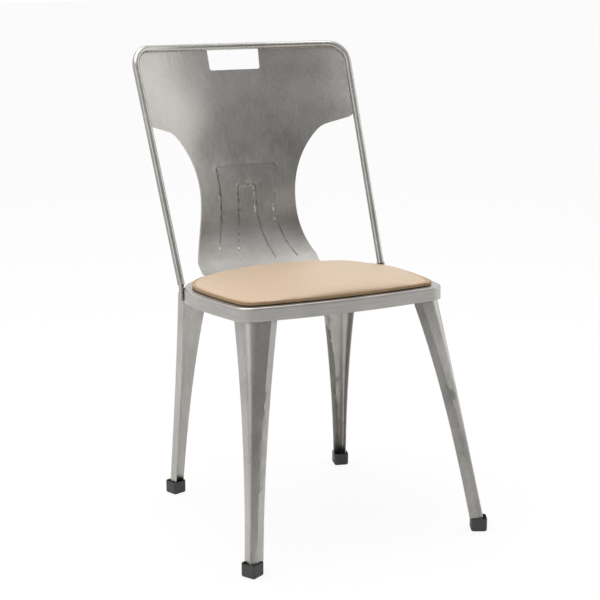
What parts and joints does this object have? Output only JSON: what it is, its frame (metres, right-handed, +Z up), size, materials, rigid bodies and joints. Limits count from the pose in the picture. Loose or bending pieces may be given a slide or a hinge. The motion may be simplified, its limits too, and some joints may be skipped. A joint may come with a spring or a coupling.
{
  "type": "metal bistro chair",
  "caption": "Brushed steel bistro chair with a round tube back hoop, a pressed back panel, splayed folded legs, rubber feet and a beige seat pad.",
  "frame": {"origin": "on the floor under the middle of the chair's box", "axes": "+Z up, -Y towards the front edge of the seat, +X to the sitter's left"},
  "size_m": [0.489, 0.5715, 0.8492],
  "materials": {
    "steel": "brushed under a clear coat",
    "vinyl": "smooth matt vinyl",
    "foam": "open-cell foam",
    "plywood": "raw plywood",
    "zinc": "zinc plated",
    "rubber": "matt moulded rubber"
  },
  "bodies": {
    "root": {"seat_pan": "steel", "back_panel": "steel", "back_hoop": "steel", "leg_front_right": "steel", "leg_front_left": "steel", "leg_rear_right": "steel", "leg_rear_left": "steel", "pad_board": "plywood", "pad_foam": "foam", "pad_cover": "vinyl", "pad_screws": "zinc", "pad_washers": "zinc", "tee_nuts": "zinc", "foot_front_left": "rubber", "foot_front_right": "rubber", "foot_rear_left": "rubber", "foot_rear_right": "rubber"}
  },
  "joints": []
}
